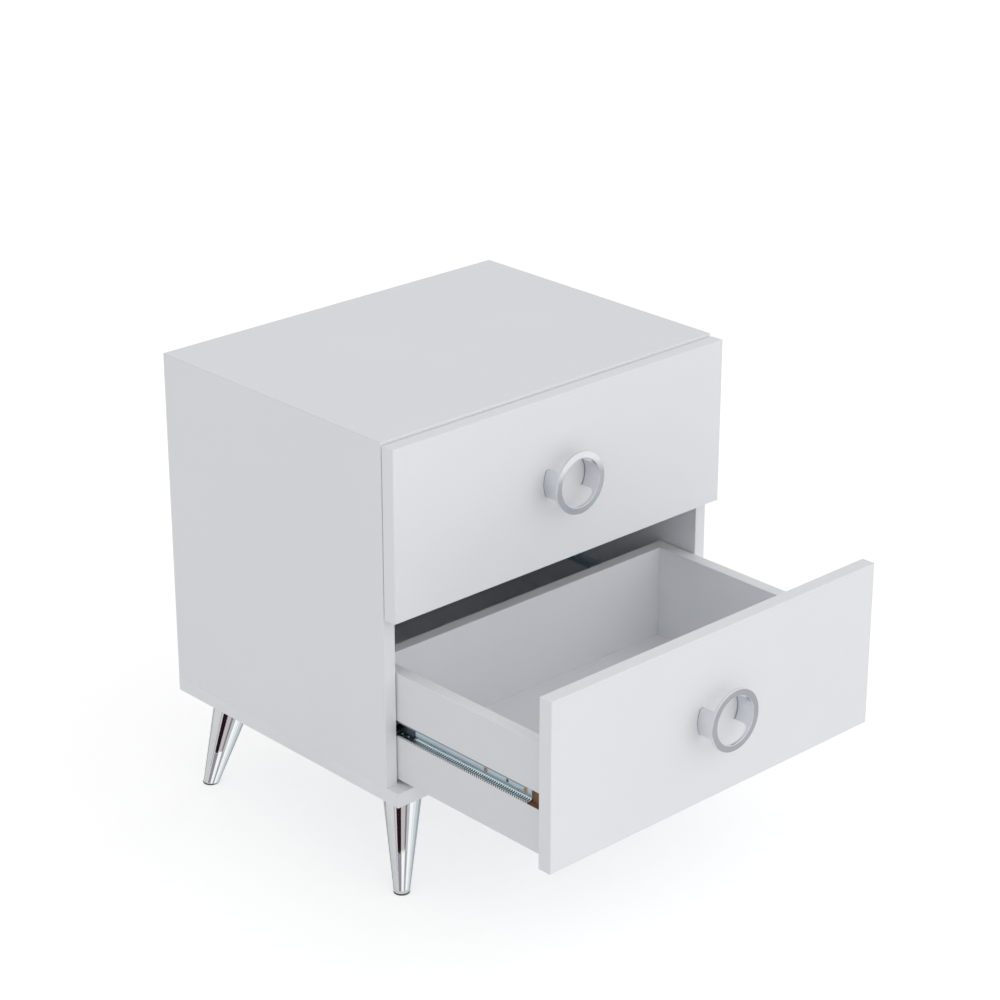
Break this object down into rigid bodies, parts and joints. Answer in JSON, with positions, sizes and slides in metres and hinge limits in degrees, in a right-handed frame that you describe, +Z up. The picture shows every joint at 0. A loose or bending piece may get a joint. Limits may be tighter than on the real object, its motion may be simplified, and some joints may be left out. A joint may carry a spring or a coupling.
{
  "type": "nightstand with drawers",
  "caption": "Nightstand with full-width drawers on ball slides, round ring pulls and splayed, tapered chrome legs. The lower drawer is stored open.",
  "frame": {"origin": "on the floor, under the middle of the bounding box with the lower drawer open", "axes": "+X to the user's right when facing the drawers, +Y to the back, +Z up; the drawers open along -Y"},
  "size_m": [0.508, 0.667, 0.555],
  "materials": {
    "white_laminate": "satin white laminate on board",
    "bare_board": "raw fibreboard",
    "beech": "fluted beech",
    "chrome": "chrome plate, satin on the pulls",
    "zinc_steel": "blue zinc plate",
    "slide_steel": "dark oiled steel",
    "glide_plastic": "matt",
    "clear_bumper": "soft, milky"
  },
  "bodies": {
    "cabinet": {"top_panel": "white_laminate", "left_side_panel": "white_laminate", "right_side_panel": "white_laminate", "base_panel": "white_laminate", "back_panel": "white_laminate", "left_mitre_spline": "bare_board", "right_mitre_spline": "bare_board", "base_dowels": "beech", "base_cams": "zinc_steel", "base_cam_bolts": "zinc_steel", "back_panel_screws": "zinc_steel", "front_left_leg": "chrome", "front_right_leg": "chrome", "rear_left_leg": "chrome", "rear_right_leg": "chrome", "front_left_glide": "glide_plastic", "front_right_glide": "glide_plastic", "rear_left_glide": "glide_plastic", "rear_right_glide": "glide_plastic", "leg_studs": "zinc_steel", "leg_inserts": "zinc_steel", "upper_left_cabinet_rail": "zinc_steel", "upper_right_cabinet_rail": "zinc_steel", "lower_left_cabinet_rail": "zinc_steel", "lower_right_cabinet_rail": "zinc_steel", "cabinet_rail_screws": "zinc_steel"},
    "upper_drawer": {"upper_drawer_front": "white_laminate", "upper_drawer_left_side": "white_laminate", "upper_drawer_right_side": "white_laminate", "upper_drawer_back": "white_laminate", "upper_drawer_bottom": "white_laminate", "upper_ring_pull": "chrome", "upper_pull_screws": "zinc_steel", "upper_left_drawer_rail": "zinc_steel", "upper_right_drawer_rail": "zinc_steel", "upper_drawer_rail_screws": "zinc_steel", "upper_drawer_cams": "zinc_steel", "upper_drawer_cam_bolts": "zinc_steel", "upper_drawer_dowels": "beech", "upper_front_bumpers": "clear_bumper"},
    "lower_drawer": {"lower_drawer_front": "white_laminate", "lower_drawer_left_side": "white_laminate", "lower_drawer_right_side": "white_laminate", "lower_drawer_back": "white_laminate", "lower_drawer_bottom": "white_laminate", "lower_ring_pull": "chrome", "lower_pull_screws": "zinc_steel", "lower_left_drawer_rail": "zinc_steel", "lower_right_drawer_rail": "zinc_steel", "lower_drawer_rail_screws": "zinc_steel", "lower_drawer_cams": "zinc_steel", "lower_drawer_cam_bolts": "zinc_steel", "lower_drawer_dowels": "beech", "lower_front_bumpers": "clear_bumper"},
    "upper_left_ball_cage": {"upper_left_ball_cage": "slide_steel"},
    "upper_right_ball_cage": {"upper_right_ball_cage": "slide_steel"},
    "lower_left_ball_cage": {"lower_left_ball_cage": "slide_steel"},
    "lower_right_ball_cage": {"lower_right_ball_cage": "slide_steel"}
  },
  "joints": [
    {"name": "upper_drawer_slide", "type": "slide", "parent": "cabinet", "child": "upper_drawer", "axis": [0, -1, 0], "range_m": [0, 0.242]},
    {"name": "lower_drawer_slide", "type": "slide", "parent": "cabinet", "child": "lower_drawer", "axis": [0, -1, 0], "range_m": [-0.242, 0]},
    {"name": "upper_left_ball_cage_roll", "type": "slide", "parent": "cabinet", "child": "upper_left_ball_cage", "axis": [0, -1, 0], "range_m": [0, 0.121]},
    {"name": "upper_right_ball_cage_roll", "type": "slide", "parent": "cabinet", "child": "upper_right_ball_cage", "axis": [0, -1, 0], "range_m": [0, 0.121]},
    {"name": "lower_left_ball_cage_roll", "type": "slide", "parent": "cabinet", "child": "lower_left_ball_cage", "axis": [0, -1, 0], "range_m": [-0.121, 0]},
    {"name": "lower_right_ball_cage_roll", "type": "slide", "parent": "cabinet", "child": "lower_right_ball_cage", "axis": [0, -1, 0], "range_m": [-0.121, 0]}
  ],
  "couplings": [
    {"joint": "upper_left_ball_cage_roll", "follows": "upper_drawer_slide", "ratio": 0.5},
    {"joint": "upper_right_ball_cage_roll", "follows": "upper_drawer_slide", "ratio": 0.5},
    {"joint": "lower_left_ball_cage_roll", "follows": "lower_drawer_slide", "ratio": 0.5},
    {"joint": "lower_right_ball_cage_roll", "follows": "lower_drawer_slide", "ratio": 0.5}
  ]
}
